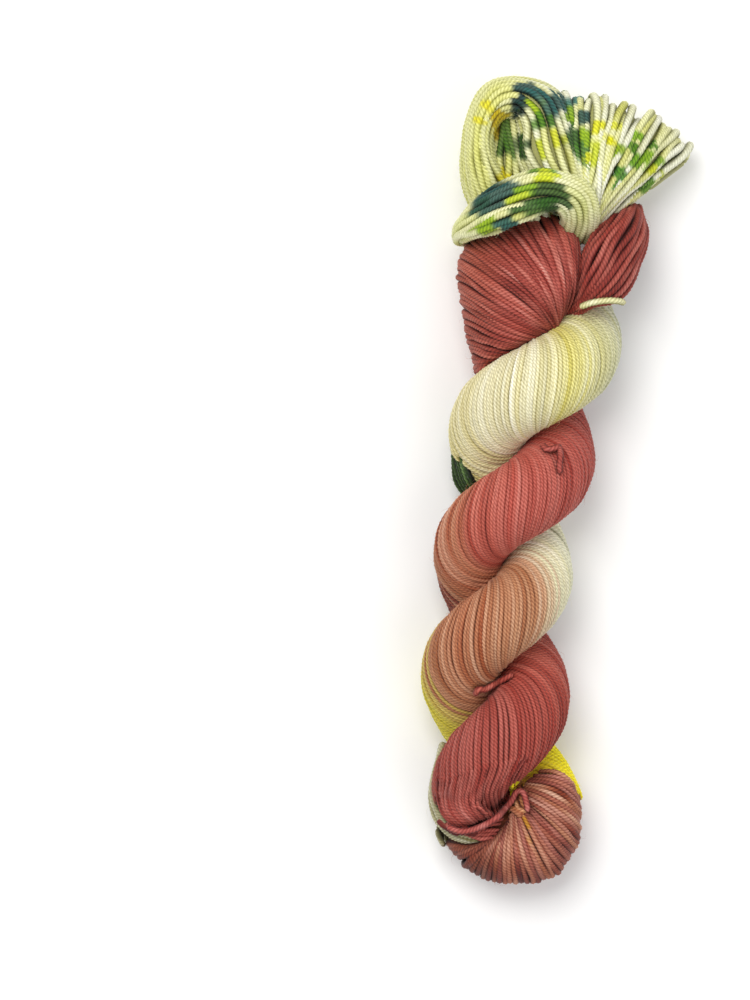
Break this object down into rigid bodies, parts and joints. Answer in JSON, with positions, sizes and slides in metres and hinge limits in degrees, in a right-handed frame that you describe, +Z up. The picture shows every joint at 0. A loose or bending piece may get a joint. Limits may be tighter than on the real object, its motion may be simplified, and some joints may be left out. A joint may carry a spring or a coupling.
{
  "type": "hank of yarn",
  "caption": "Twisted hank of hand-dyed wool yarn, red, tan and cream with green speckles, tucked into itself at a looped head and lying flat.",
  "frame": {"origin": "middle of the bounding box in plan, on the surface that the hank lies on", "axes": "+Y runs along the hank from its folded foot to its looped head, +Z is up off the surface, and +X is to the right seen from above"},
  "size_m": [0.0764, 0.2588, 0.0508],
  "materials": {
    "dyed_wool": "hand-dyed plied wool, matte with a soft sheen",
    "red_wool": "brick red plied wool, matte with a soft sheen",
    "cream_wool": "cream plied wool, matte with a soft sheen"
  },
  "bodies": {
    "root": {"hank": "dyed_wool", "lower_tie": "red_wool", "middle_tie": "red_wool", "upper_tie": "red_wool", "loose_end": "cream_wool"}
  },
  "joints": []
}
